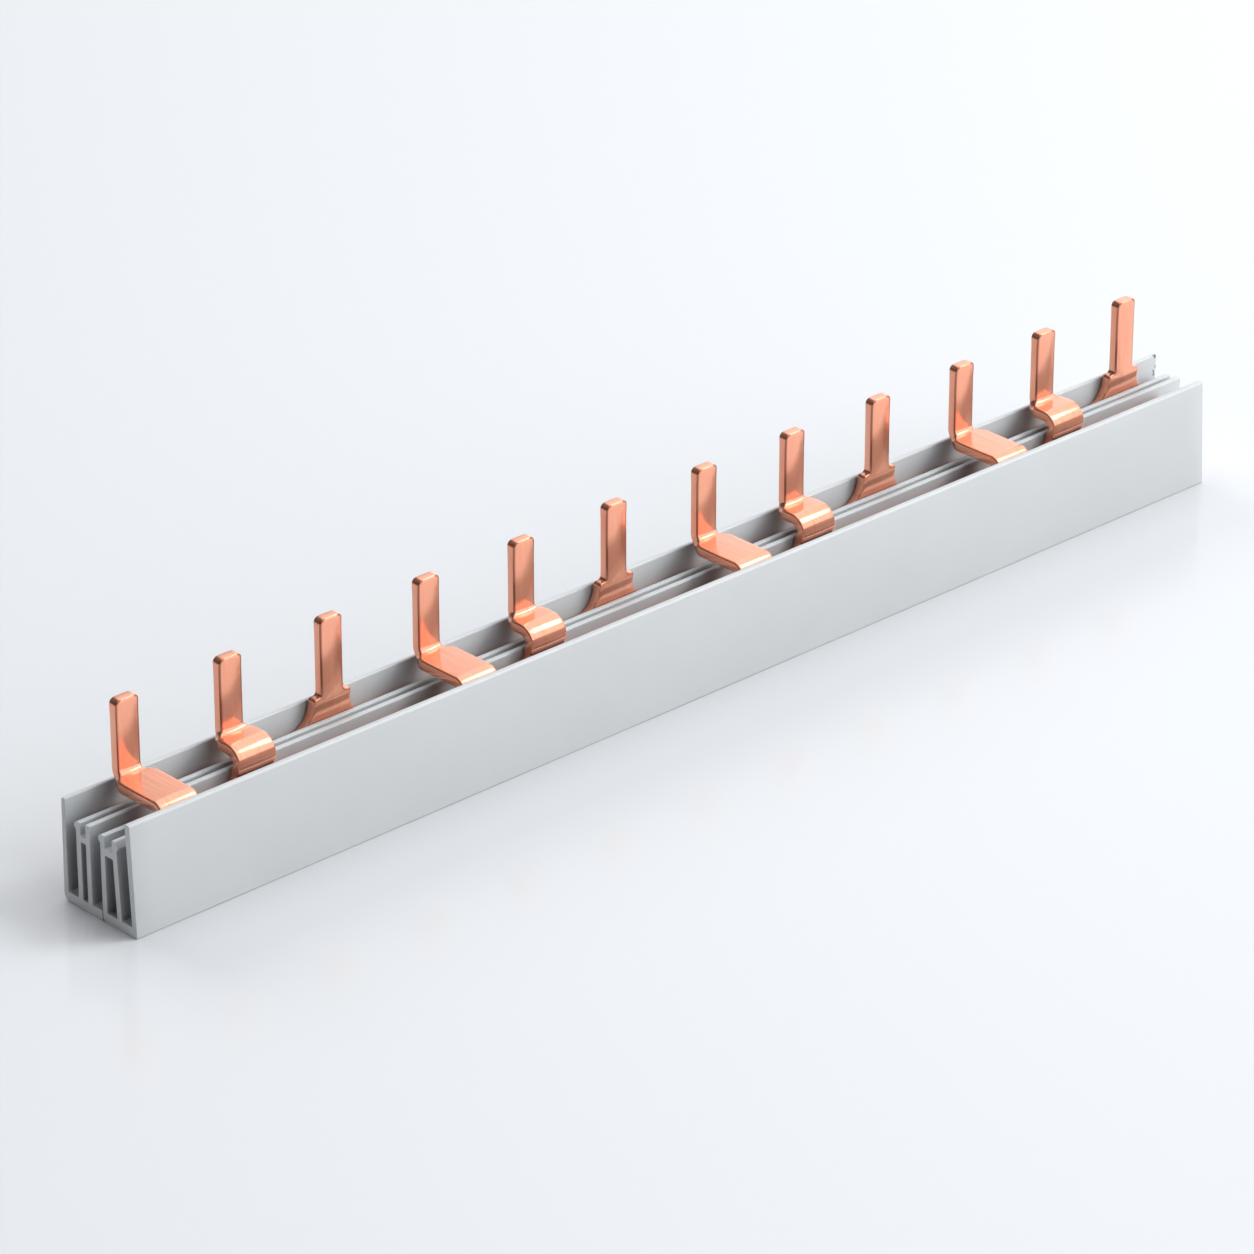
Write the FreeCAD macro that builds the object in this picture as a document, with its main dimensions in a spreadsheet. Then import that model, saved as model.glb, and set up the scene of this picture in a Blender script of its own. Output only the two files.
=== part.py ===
import FreeCAD, Part
import Sketcher
import os

# Three-phase comb busbar for twelve breaker modules, in millimetres.
# X runs along the bar, +Y is the rear, +Z is up. The origin lies under the
# middle of the bar, on the surface that it stands on, and the twelve pins are
# centred on it. A depth is counted from the front edge of the floor to the rear.

SIZES = {
    # the bar as a whole
    "pin_pitch": 17.8,
    "end_margin": 9.6,
    "front_short": 4.5,
    "strip_tail": 1.4,
    # copper
    "copper": 1.7,
    "strip_height": 10.2,
    "pin_width": 4.0,
    "base_width": 6.6,
    "pin_top": 28.05,
    "pin_corner": 0.85,
    "edge_break": 0.25,
    # bends of the three kinds of tooth
    "rear_jog": 0.35,
    "rear_jog_start": 1.5,
    "rear_jog_rise": 2.5,
    "shoulder_rise": 4.6,
    "shoulder_round": 0.45,
    "middle_jog": 0.45,
    "middle_jog_start": 1.25,
    "middle_jog_rise": 0.8,
    "middle_air": 1.85,
    "front_air": 2.05,
    "pin_bend": 0.8,
    "hump_bend": 1.0,
    "crease_bend": 1.5,
    "sharp_bend": 0.4,
    "jog_bend": 1.2,
    "neck_length": 1.6,
    "neck_round": 1.6,
    "neck_hollow": 0.9,
    "rear_root": 3.2,
    "middle_root": 1.2,
    "front_root": 0.6,
    # extruded insulation
    "wall": 1.0,
    "floor": 1.5,
    "slide": 0.05,
    "rib": 0.95,
    "hook": 0.35,
    "hook_air": 0.1,
    "hook_slant": 0.24,
    "barb_drop": 0.9,
    "rear_chamber": 1.05,
    "front_chamber": 2.1,
    "seam": 0.1,
    "front_height": 16.65,
    "rear_height": 15.55,
    "front_lean": 0.8,
    "rear_taper": 0.25,
    "rib_rise": 1.4,
    "tall_rib": 0.2,
    "bridge": 1.0,
    "bridge_drop": 0.5,
    "foot_round": 1.2,
    "lip_round": 0.35,
    "rib_round": 0.2,
}

PHASES = 3
TEETH_PER_PHASE = 4

# How far a direction and a place may be off when edges and faces are picked
SKEW = 0.0001
NEAR = 0.01

doc = FreeCAD.newDocument("comb_busbar")
sheet = doc.addObject("Spreadsheet::Sheet", "Sizes")
for row, (alias, number) in enumerate(SIZES.items(), start=1):
    sheet.set("A%d" % row, alias)
    sheet.set("B%d" % row, str(number))
    sheet.setAlias("B%d" % row, alias)
doc.recompute()


class Size:
    """A length that knows its number and its formula over the sheet's cells."""

    def __init__(self, value, text):
        self.value = value
        self.text = text

    @staticmethod
    def of(other):
        return other if isinstance(other, Size) else Size(float(other), repr(float(other)))

    def __add__(self, other):
        other = Size.of(other)
        return Size(self.value + other.value, "(%s + %s)" % (self.text, other.text))

    def __sub__(self, other):
        other = Size.of(other)
        return Size(self.value - other.value, "(%s - %s)" % (self.text, other.text))

    def __mul__(self, other):
        other = Size.of(other)
        return Size(self.value * other.value, "(%s * %s)" % (self.text, other.text))

    def __truediv__(self, other):
        other = Size.of(other)
        return Size(self.value / other.value, "(%s / %s)" % (self.text, other.text))


class Sheet:
    """Gives each cell of the sheet as a Size, by its alias."""

    def __getattr__(self, alias):
        return Size(SIZES[alias], "Sizes." + alias)


s = Sheet()

# Length of the bar
pin_span = s.pin_pitch * (PHASES * TEETH_PER_PHASE - 1)
half_length = pin_span / 2 + s.end_margin
comb_half = pin_span / 2 + s.base_width / 2 + s.strip_tail
phase_pitch = s.pin_pitch * PHASES

# Depths at the level of the floor, from the front edge to the rear edge
slot = s.copper + s.slide * 2
front_wall_in = s.wall
front_hook = front_wall_in + slot
fourth_rib_front = front_hook + s.hook
fourth_rib_rear = fourth_rib_front + s.rib
third_rib_front = fourth_rib_rear + s.front_chamber
third_rib_rear = third_rib_front + s.rib
middle_hook = third_rib_rear + s.hook
second_rib_front = middle_hook + slot
second_rib_rear = second_rib_front + s.rib
first_rib_front = second_rib_rear + s.rear_chamber
first_rib_rear = first_rib_front + s.rib
rear_hook = first_rib_rear + s.hook
rear_wall_in = rear_hook + slot
depth = rear_wall_in + s.wall
rear_floor_start = third_rib_rear + s.seam

# Heights in the insulation and of the bends over it
strip_top = s.floor + s.strip_height
rib_top = strip_top + s.rib_rise
tall_top = rib_top + s.tall_rib
hook_low = strip_top + s.hook_air
bridge_top = strip_top - s.bridge_drop
bridge_low = bridge_top - s.bridge
lean_rise = s.front_height - s.floor
shoulder = strip_top + s.shoulder_rise
middle_under = tall_top + s.middle_air
middle_shelf = middle_under + s.copper
front_under = tall_top + s.front_air
front_shelf = front_under + s.copper


def lean(height):
    """How far the front wall and its slot have come inward at a height."""
    return s.front_lean * (height - s.floor) / lean_rise


# Depths of the copper
rear_strip_front = rear_hook + s.slide
middle_strip_front = middle_hook + s.slide
front_strip_front = front_wall_in + s.slide
pin_front = rear_strip_front - s.rear_jog
pin_rear = pin_front + s.copper


def plane(body, role):
    return next(f for f in body.Origin.OriginFeatures if f.Role == role)


def new_body(label):
    body = doc.addObject("PartDesign::Body", label)
    body.Label = label
    return body


def polygon(sketch, corners, quarters=None):
    """Closed outline through corners, each held by its two distances from the sketch origin.

    quarters gives a radius, by the side's number, to each side that is a quarter circle. Its
    centre stands over its lower end, level with its upper end."""
    points = [FreeCAD.Vector(Size.of(a).value, Size.of(b).value, 0) for a, b in corners]
    quarters = quarters or {}
    first = sketch.GeometryCount
    for i, start in enumerate(points):
        end = points[(i + 1) % len(points)]
        if i in quarters:
            low, high = sorted((start, end), key=lambda point: point.y)
            centre = FreeCAD.Vector(low.x, high.y, 0)
            middle = centre + (start + end - centre * 2).normalize() * quarters[i].value
            sketch.addGeometry(Part.Arc(start, middle, end), False)
        else:
            sketch.addGeometry(Part.LineSegment(start, end), False)
    for i in range(len(points)):
        after = first + (i + 1) % len(points)
        sketch.addConstraint(Sketcher.Constraint("Coincident", first + i, 2, after, 1))
    for i, corner in enumerate(corners):
        for kind, distance in zip(("DistanceX", "DistanceY"), corner):
            distance = Size.of(distance)
            row = sketch.addConstraint(
                Sketcher.Constraint(kind, -1, 1, first + i, 1, distance.value))
            sketch.setExpression("Constraints[%d]" % row, distance.text)
    for i, radius in quarters.items():
        row = sketch.addConstraint(Sketcher.Constraint("Radius", first + i, radius.value))
        sketch.setExpression("Constraints[%d]" % row, radius.text)


def new_sketch(body, role, name, shift):
    """Sketch on one of the body's own planes, moved in that plane and along its normal."""
    sketch = body.newObject("Sketcher::SketchObject", name)
    sketch.AttachmentSupport = [(plane(body, role), "")]
    sketch.MapMode = "FlatFace"
    for axis, distance in zip("xyz", shift):
        if distance is not None:
            sketch.setExpression("AttachmentOffset.Base." + axis, distance.text)
    return sketch


def pad(body, sketch, name, length):
    feature = body.newObject("PartDesign::Pad", name)
    feature.Profile = sketch
    feature.setExpression("Length", length.text)
    doc.recompute()
    return feature


def cut_between_teeth(body, sketch, name, before):
    """Pocket through the comb, both ways from its sketch, repeated at each gap between teeth."""
    pocket = body.newObject("PartDesign::Pocket", name)
    pocket.Profile = sketch
    pocket.Type = "ThroughAll"
    pocket.Midplane = True
    row = body.newObject("PartDesign::LinearPattern", name + "_row")
    row.Originals = [pocket]
    row.Direction = (plane(body, "X_Axis"), [""])
    row.Mode = "Spacing"
    row.setExpression("Offset", phase_pitch.text)
    row.Occurrences = TEETH_PER_PHASE + 1
    body.Tip = row
    doc.recompute()
    if row.Shape.Volume >= before.Shape.Volume:
        raise RuntimeError(name + " cuts nothing")
    return row


def dress_edges(body, base, kind, name, size, chosen):
    """Fillet or chamfer on the chosen edges of the feature before it."""
    names = ["Edge%d" % (i + 1) for i, edge in enumerate(base.Shape.Edges) if chosen(edge)]
    if not names:
        raise RuntimeError(name + " finds no edge")
    feature = body.newObject("PartDesign::" + kind, name)
    feature.Base = (base, names)
    feature.setExpression({"Fillet": "Radius", "Chamfer": "Size"}[kind], size.text)
    doc.recompute()
    return feature


def lies_at(edge, direction, spots):
    """True for a straight edge along a direction that passes one of the spots, given in YZ, XZ or XY."""
    if not isinstance(edge.Curve, Part.Line):
        return False
    if abs(edge.Curve.Direction.dot(direction)) < 1 - SKEW:
        return False
    middle = edge.CenterOfMass
    across = [getattr(middle, axis) for axis in "xyz" if not getattr(direction, axis)]
    return any(all(abs(a - b.value) < NEAR for a, b in zip(across, spot)) for spot in spots)


ALONG_X = FreeCAD.Vector(1, 0, 0)
ALONG_Y = FreeCAD.Vector(0, 1, 0)
ALONG_Z = FreeCAD.Vector(0, 0, 1)


def at_depth(distance):
    """Y of a depth."""
    return Size.of(distance) - depth / 2


def in_section(corners):
    """Corners given as depth and height, as Y and Z."""
    return [(at_depth(across), Size.of(up)) for across, up in corners]


def round_along(body, base, name, radius, direction, spots):
    """Fillet on the straight edges that run in a direction through the spots."""
    return dress_edges(body, base, "Fillet", name, radius,
                       lambda edge: lies_at(edge, direction, spots))


def extrusion(label, outline, chamber, length):
    """Insulation profile: a section across the bar, pulled along it from the near end."""
    body = new_body(label)
    sketch = new_sketch(body, "YZ_Plane", label + "_section",
                        (depth / -2, None, half_length * -1))
    polygon(sketch, outline)
    polygon(sketch, chamber)
    return body, pad(body, sketch, label + "_length", length)


# Rear profile: the floor, the rear wall, and two ribs tied by a bridge over a closed chamber
def rear_profile():
    wall_top_out = depth - s.rear_taper
    rib_crest = first_rib_rear - s.hook_slant
    outline = [
        (rear_floor_start, 0), (depth, 0), (wall_top_out, s.rear_height),
        (rear_wall_in, s.rear_height), (rear_wall_in, s.floor), (first_rib_rear, s.floor),
        (first_rib_rear, hook_low), (rear_hook, hook_low + s.hook),
        (rear_hook, rib_top - s.hook), (rib_crest, rib_top), (first_rib_front, rib_top),
        (first_rib_front, bridge_top), (second_rib_rear, bridge_top),
        (second_rib_rear, tall_top), (second_rib_front, tall_top),
        (second_rib_front, s.floor), (rear_floor_start, s.floor),
    ]
    chamber = [
        (second_rib_rear, s.floor), (first_rib_front, s.floor),
        (first_rib_front, bridge_low), (second_rib_rear, bridge_low),
    ]
    body, solid = extrusion("rear_insulation_profile", outline, chamber, half_length * 2)
    foot = in_section([(depth, 0)])
    solid = round_along(body, solid, "rear_foot", s.foot_round, ALONG_X, foot)
    lip = in_section([(wall_top_out, s.rear_height)])
    solid = round_along(body, solid, "rear_lip", s.lip_round, ALONG_X, lip)
    crests = in_section([
        (rear_wall_in, s.rear_height), (first_rib_front, rib_top), (rib_crest, rib_top),
        (rear_hook, hook_low + s.hook), (rear_hook, rib_top - s.hook),
        (second_rib_rear, tall_top), (second_rib_front, tall_top),
    ])
    round_along(body, solid, "rear_crests", s.rib_round, ALONG_X, crests)
    return body


# Front profile: the front wall, its slot and the barbed rib beside the slot lean inward together
def front_profile():
    barb_tip = rib_top - s.barb_drop
    rib_crest = third_rib_rear - s.hook_slant
    barb_crest = fourth_rib_front + s.hook_slant + lean(rib_top)
    wall_crest = front_wall_in + s.front_lean
    outline = [
        (0, 0), (third_rib_rear, 0), (third_rib_rear, hook_low),
        (middle_hook, hook_low + s.hook), (middle_hook, rib_top - s.hook),
        (rib_crest, rib_top), (third_rib_front, rib_top), (third_rib_front, bridge_top),
        (fourth_rib_rear + lean(bridge_top), bridge_top),
        (fourth_rib_rear + lean(rib_top), rib_top), (barb_crest, rib_top),
        (front_hook + lean(barb_tip), barb_tip),
        (fourth_rib_front + lean(strip_top), strip_top), (fourth_rib_front, s.floor),
        (front_wall_in, s.floor), (wall_crest, s.front_height),
        (s.front_lean, s.front_height),
    ]
    chamber = [
        (fourth_rib_rear, s.floor), (third_rib_front, s.floor),
        (third_rib_front, bridge_low), (fourth_rib_rear + lean(bridge_low), bridge_low),
    ]
    body, solid = extrusion("front_insulation_profile", outline, chamber,
                            half_length * 2 - s.front_short)
    lips = in_section([(third_rib_rear, 0), (s.front_lean, s.front_height)])
    solid = round_along(body, solid, "front_lips", s.lip_round, ALONG_X, lips)
    crests = in_section([
        (0, 0), (wall_crest, s.front_height), (third_rib_front, rib_top), (rib_crest, rib_top),
        (middle_hook, hook_low + s.hook), (middle_hook, rib_top - s.hook),
        (fourth_rib_rear + lean(rib_top), rib_top), (barb_crest, rib_top),
    ])
    round_along(body, solid, "front_crests", s.rib_round, ALONG_X, crests)
    return body


def both_sides(first_tooth, across, other):
    """Places on the left and right of each tooth of a comb, with their second coordinate."""
    middles = [first_tooth + phase_pitch * i for i in range(TEETH_PER_PHASE)]
    return [(middle + across * side, other) for middle in middles for side in (-1, 1)]


def is_sheet_face(face, cut_heights):
    """True for a front or rear surface of the bent copper, false for what cutting left."""
    surface = face.Surface
    if isinstance(surface, Part.Cylinder):
        return abs(surface.Axis.x) > 1 - SKEW
    if not isinstance(surface, Part.Plane) or abs(surface.Axis.x) > SKEW:
        return False
    level = abs(surface.Axis.z) > 1 - SKEW
    return not (level and any(abs(face.CenterOfMass.z - up.value) < NEAR for up in cut_heights))


def break_edges(body, base, name, cut_heights):
    """Chamfer the edges that cutting left on the copper, except at the strip's own ends."""
    shape = base.Shape
    is_sheet = {face.hashCode(): is_sheet_face(face, cut_heights) for face in shape.Faces}

    def chosen(edge):
        sides = [is_sheet[side.hashCode()] for side in shape.ancestorsOfType(edge, Part.Face)]
        if sorted(sides) != [False, True]:
            return False
        box = edge.BoundBox
        at_end = box.XLength < NEAR and abs(abs(box.XMin) - comb_half.value) < NEAR
        return not at_end and box.ZMax > s.floor.value + NEAR

    return dress_edges(body, base, "Chamfer", name, s.edge_break, chosen)


def comb(label, number, faces, bends, root, step=None):
    """One copper comb: a strip bent to its section, then cut to teeth and rounded.

    number counts the pins before the comb's first. faces are the corners of the section, and
    bends are pairs of a radius and the corners that it rounds. root is the sweep from the strip
    up into a tooth. The teeth step in to their pins at the height step, or else narrow along
    their shelves."""
    body = new_body(label)
    first_tooth = s.pin_pitch * number - pin_span / 2
    section = new_sketch(body, "YZ_Plane", label + "_section",
                         (depth / -2, None, comb_half * -1))
    polygon(section, faces)
    solid = pad(body, section, label + "_blank", comb_half * 2)
    for i, (radius, corners) in enumerate(bends):
        solid = round_along(body, solid, "%s_bend_%d" % (label, i), radius, ALONG_X,
                            in_section(corners))

    half_pin = s.pin_width / 2
    half_base = s.base_width / 2
    over_pins = s.pin_top + s.copper
    if step:
        side = [(half_pin, over_pins), (half_pin, step), (half_base, step)]
    else:
        side = [(half_base, over_pins)]
    side += [(half_base, strip_top + root), (half_base + root, strip_top)]
    gap = side + [(phase_pitch - across, up) for across, up in side[::-1]]
    gaps = new_sketch(body, "XZ_Plane", label + "_gaps", (first_tooth - phase_pitch, None, None))
    polygon(gaps, gap, {len(side) - 2: root, len(side): root})
    solid = cut_between_teeth(body, gaps, label + "_teeth", solid)

    if step:
        corners = both_sides(first_tooth, half_pin, step)
        corners += both_sides(first_tooth, half_base, step)
        solid = round_along(body, solid, label + "_shoulder", s.shoulder_round, ALONG_Y, corners)
    else:
        neck_end = pin_front - s.pin_bend / 2
        neck_start = neck_end - s.neck_length
        neck = [(half_base, neck_start), (half_pin, neck_end), (half_pin, depth + s.wall)]
        neck += [(phase_pitch - across, back) for across, back in neck[::-1]]
        necks = new_sketch(body, "XY_Plane", label + "_necks",
                           (first_tooth - phase_pitch, depth / -2, None))
        polygon(necks, neck)
        solid = cut_between_teeth(body, necks, label + "_pins", solid)
        solid = round_along(body, solid, label + "_neck_round", s.neck_round, ALONG_Z,
                            both_sides(first_tooth, half_base, at_depth(neck_start)))
        solid = round_along(body, solid, label + "_neck_hollow", s.neck_hollow, ALONG_Z,
                            both_sides(first_tooth, half_pin, at_depth(neck_end)))

    solid = round_along(body, solid, label + "_tip", s.pin_corner, ALONG_Y,
                        both_sides(first_tooth, half_pin, s.pin_top))
    cut_heights = [s.floor, strip_top, s.pin_top] + ([step] if step else [])
    break_edges(body, solid, label + "_edges", cut_heights)
    return body


# Rear comb: almost straight teeth, with a shoulder under each pin
def rear_comb():
    rear_strip_rear = rear_strip_front + s.copper
    low = strip_top + s.rear_jog_start
    high = low + s.rear_jog_rise
    faces = [
        (rear_strip_front, s.floor), (rear_strip_rear, s.floor), (rear_strip_rear, low),
        (pin_rear, high), (pin_rear, s.pin_top), (pin_front, s.pin_top), (pin_front, high),
        (rear_strip_front, low),
    ]
    bends = [(s.jog_bend, [faces[2], faces[3], faces[6], faces[7]])]
    return comb("rear_phase_comb", 2, faces, bends, s.rear_root, shoulder)


# Middle comb: each tooth bulges forward, turns back over a hump and up into its pin
def middle_comb():
    middle_strip_rear = middle_strip_front + s.copper
    hump_front = middle_strip_front - s.middle_jog
    hump_rear = middle_strip_rear - s.middle_jog
    low = strip_top + s.middle_jog_start
    high = low + s.middle_jog_rise
    faces = [
        (middle_strip_front, s.floor), (middle_strip_rear, s.floor), (middle_strip_rear, low),
        (hump_rear, high), (hump_rear, middle_under), (pin_rear, middle_under),
        (pin_rear, s.pin_top), (pin_front, s.pin_top), (pin_front, middle_shelf),
        (hump_front, middle_shelf), (hump_front, high), (middle_strip_front, low),
    ]
    bends = [
        (s.jog_bend, [faces[2], faces[3], faces[10], faces[11]]),
        (s.hump_bend, [faces[4]]), (s.hump_bend + s.copper, [faces[9]]),
        (s.pin_bend, [faces[8]]), (s.pin_bend + s.copper, [faces[5]]),
    ]
    return comb("middle_phase_comb", 1, faces, bends, s.middle_root)


# Front comb: each tooth rises inside the leaning wall, creases back into a long flat shelf
# over the ribs, and turns up into its pin
def front_comb():
    front_strip_rear = front_strip_front + s.copper
    faces = [
        (front_strip_front, s.floor), (front_strip_rear, s.floor),
        (front_strip_rear + lean(front_under), front_under), (pin_rear, front_under),
        (pin_rear, s.pin_top), (pin_front, s.pin_top), (pin_front, front_shelf),
        (front_strip_front + lean(front_shelf), front_shelf),
    ]
    bends = [
        (s.sharp_bend, [faces[2]]), (s.crease_bend, [faces[7]]),
        (s.pin_bend, [faces[6]]), (s.pin_bend + s.copper, [faces[3]]),
    ]
    return comb("front_phase_comb", 0, faces, bends, s.front_root)


pieces = [make() for make in (rear_profile, front_profile, rear_comb, middle_comb, front_comb)]
doc.recompute()

for item in doc.Objects:
    if "Invalid" in item.State or "Error" in item.State:
        raise RuntimeError("%s did not build: %s" % (item.Name, item.State))
for piece in pieces:
    if piece.Shape.isNull() or not piece.Shape.isValid() or len(piece.Shape.Solids) != 1:
        raise RuntimeError(piece.Label + " is not one sound solid")

os.makedirs("parts", exist_ok=True)
for piece in pieces:
    piece.Shape.exportStep("parts/%s.step" % piece.Label)
    print(piece.Label, round(piece.Shape.Volume, 2), len(piece.Shape.Faces))
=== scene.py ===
import bpy
import bmesh
import math
import numpy as np
from mathutils import Matrix, Vector
from mathutils.geometry import tessellate_polygon


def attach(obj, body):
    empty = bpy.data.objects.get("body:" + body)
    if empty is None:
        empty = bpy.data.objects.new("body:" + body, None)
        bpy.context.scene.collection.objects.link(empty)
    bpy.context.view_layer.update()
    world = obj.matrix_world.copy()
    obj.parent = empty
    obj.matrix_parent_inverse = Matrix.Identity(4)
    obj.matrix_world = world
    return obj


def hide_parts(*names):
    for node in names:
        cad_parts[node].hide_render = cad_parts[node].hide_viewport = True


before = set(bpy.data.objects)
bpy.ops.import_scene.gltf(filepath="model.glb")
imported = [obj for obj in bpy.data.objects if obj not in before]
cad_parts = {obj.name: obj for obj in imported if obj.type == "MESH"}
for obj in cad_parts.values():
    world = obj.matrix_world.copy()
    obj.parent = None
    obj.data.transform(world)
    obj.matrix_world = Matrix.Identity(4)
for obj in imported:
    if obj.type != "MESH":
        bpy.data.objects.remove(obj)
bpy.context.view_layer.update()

bl_info = {
    "name": "Comb busbar",
    "version": (1, 0, 0),
    "blender": (4, 5, 0),
    "location": "View3D > Sidebar > Busbar",
    "description": "Dresses a three-phase comb busbar in its extruded insulation and copper",
    "category": "Object",
}

MM = 0.001
PHASES = 3
TEETH_PER_PHASE = 4
INSULATION = "insulation"
COPPER = "copper"

# Roundings that the extrusion die leaves on lips, crests, inner corners and fine edges
LIP, CREST, ROOT, EDGE = 0.35 * MM, 0.2 * MM, 0.12 * MM, 0.1 * MM
# The least rounding of any corner
LEAST_ROUND = 0.03 * MM

# Fineness of the meshes
STATIONS = 60
CUT_STEPS = 3
ROLL_STEPS = 6
FACE_STEPS = 12
SIDE_SPACING = 0.12 * MM
FOLD_SPACING = 0.02 * MM
WELD = 0.0005 * MM
SHARP_ANGLE = math.radians(40)

# Lengths over which a pin's crown grows at its foot and fades at its tip
CROWN_GROWTH = 3 * MM
CROWN_FADE = 2.5 * MM

# A root starts this deep in its strip and this far beside its sweep, and turns in by this radius
ROOT_DEPTH, ROOT_REACH, ROOT_TURN = 0.6 * MM, 0.15 * MM, 0.1 * MM

# How near a side's half width is to its pin's when it counts as on the pin, and how near an
# outline's end is to the tip's level
ON_PIN = 0.02 * MM
AT_TIP = 1e-9

# Colour sockets of a Mix node, which have the same names as its other sockets
FIRST, SECOND, MIXED = 6, 7, 2


# Properties

def length(name, description, millimetres):
    """A length property, given in millimetres and kept in metres."""
    return bpy.props.FloatProperty(name=name, description=description, unit="LENGTH",
                                   default=millimetres * MM, precision=5)


def shade(name, description, hex_code):
    """A colour property, given as sRGB hex."""
    return bpy.props.FloatVectorProperty(name=name, description=description, subtype="COLOR",
                                         size=3, min=0, max=1, default=linear(hex_code))


def linear(hex_code):
    """sRGB hex to linear RGB: c / 12.92 up to 0.04045, else ((c + 0.055) / 1.055) ^ 2.4."""
    srgb = [int(hex_code[i:i + 2], 16) / 255 for i in (1, 3, 5)]
    return [c / 12.92 if c <= 0.04045 else ((c + 0.055) / 1.055) ** 2.4 for c in srgb]


class InsulationSizes(bpy.types.PropertyGroup):
    """Section and length of the two extruded profiles."""
    half_length: length("Half length", "Half of the rear profile's length", 107.5)
    front_short: length("Front short", "How much shorter the front profile is", 4.5)
    wall: length("Wall", "Thickness of the outer walls", 1.0)
    floor: length("Floor", "Thickness of the floor", 1.5)
    slot: length("Slot", "Width of a channel over its hook", 1.8)
    rib: length("Rib", "Thickness of a rib", 0.95)
    hook: length("Hook", "How far a rib's hook stands out", 0.35)
    rear_chamber: length("Rear chamber", "Gap between ribs one and two", 1.05)
    front_chamber: length("Front chamber", "Gap between ribs three and four", 2.1)
    seam: length("Seam", "Gap between the two profiles", 0.1)
    front_height: length("Front height", "Height of the front wall", 16.65)
    rear_height: length("Rear height", "Height of the rear wall", 15.55)
    front_lean: length("Front lean", "How far the front wall leans inward", 0.8)
    rear_taper: length("Rear taper", "How much the rear wall thins to its top", 0.25)
    rib_top: length("Rib top", "Height of the ribs", 13.1)
    tall_rib: length("Tall rib", "How much higher rib two is", 0.2)
    hook_low: length("Hook low", "Height where the hooks start", 11.8)
    hook_slant: length("Hook slant", "Width of the slanted crest of a rib", 0.24)
    barb_drop: length("Barb drop", "Height of the barb's slanted top", 0.9)
    bridge_top: length("Bridge top", "Height of the top of the bridges", 11.2)
    bridge: length("Bridge", "Thickness of a bridge between ribs", 1.0)
    foot_round: length("Foot rounding", "Radius of the rear lower edge", 1.2)
    cut_round: length("Cut rounding", "Rounding of the sawn ends", 0.07)


class CopperSizes(bpy.types.PropertyGroup):
    """Sizes of the three bent combs."""
    pitch: length("Pitch", "Spacing of the pins", 17.8)
    thickness: length("Thickness", "Thickness of the copper", 1.7)
    half_strip: length("Half strip", "Half of a strip's length", 102.6)
    strip_low: length("Strip low", "Height of the strips' lower edge", 1.5)
    strip_top: length("Strip top", "Height of the strips' upper edge", 11.7)
    strip_round: length("Strip rounding", "Rounding of a strip's sheared ends", 0.1)
    half_pin: length("Half pin", "Half of a pin's width", 2.0)
    half_base: length("Half base", "Half of a tooth's width below its pin", 3.3)
    pin_top: length("Pin top", "Height of the pins' tips", 28.05)
    pin_depth: length("Pin depth", "Middle of the row of pins, from the bar's middle", 5.45)
    pin_corner: length("Pin corner", "Corner radius of a pin's tip", 0.85)
    edge_roll: length("Edge roll", "Depth of the rolled edges of the sheet", 0.22)
    edge_width: length("Edge width", "Width of the rolled edges of the sheet", 0.45)
    crown: length("Crown", "How far a shelf's face bulges in its middle", 0.05)
    pin_crown: length("Pin crown", "How far a pin's face bulges in its middle", 0.13)
    rear_root: length("Rear root", "Sweep from a rear tooth into its strip", 3.2)
    middle_root: length("Middle root", "Sweep from a middle tooth into its strip", 1.2)
    front_root: length("Front root", "Sweep from a front tooth into its strip", 0.6)
    rear_jog_low: length("Rear jog low", "Height where a rear tooth's jog starts", 13.2)
    rear_jog_top: length("Rear jog top", "Height where a rear tooth's jog ends", 15.7)
    middle_jog: length("Middle jog", "How far a middle tooth steps forward", 0.45)
    middle_jog_low: length("Middle jog low", "Height where a middle tooth's jog starts", 12.95)
    middle_jog_top: length("Middle jog top", "Height where a middle tooth's jog ends", 13.75)
    shoulder: length("Shoulder", "Height of the rear teeth's shoulders", 16.3)
    shoulder_fall: length("Shoulder fall", "Half of the fall along a shoulder", 0.08)
    shoulder_round: length("Shoulder rounding", "Radius at both ends of a shoulder", 0.45)
    front_shelf: length("Front shelf", "Height of the middle of the front teeth's shelf", 16.2)
    middle_shelf: length("Middle shelf", "Height of the middle of the hump's shelf", 16.0)
    pin_bend: length("Pin bend", "Radius of the sheet's middle where it turns up", 1.65)
    hump_bend: length("Hump bend", "Radius of the sheet's middle over the hump", 1.85)
    jog_bend: length("Jog bend", "Radius of the sheet's middle where it steps forward", 1.2)
    crease_bend: length("Crease bend", "Radius of the sheet's middle at the crease", 0.95)
    neck: length("Neck", "Length over which a shelf narrows to its pin", 1.6)
    neck_round: length("Neck rounding", "Radius of the shelf's rear corners", 1.6)
    neck_hollow: length("Neck hollow", "Radius between a shelf and its pin", 0.9)
    middle_neck: length("Middle neck", "How far past the pin's front a hump's neck ends", 1.1)
    front_neck: length("Front neck", "How far past the pin's front a long shelf's neck ends", 0.3)


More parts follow.
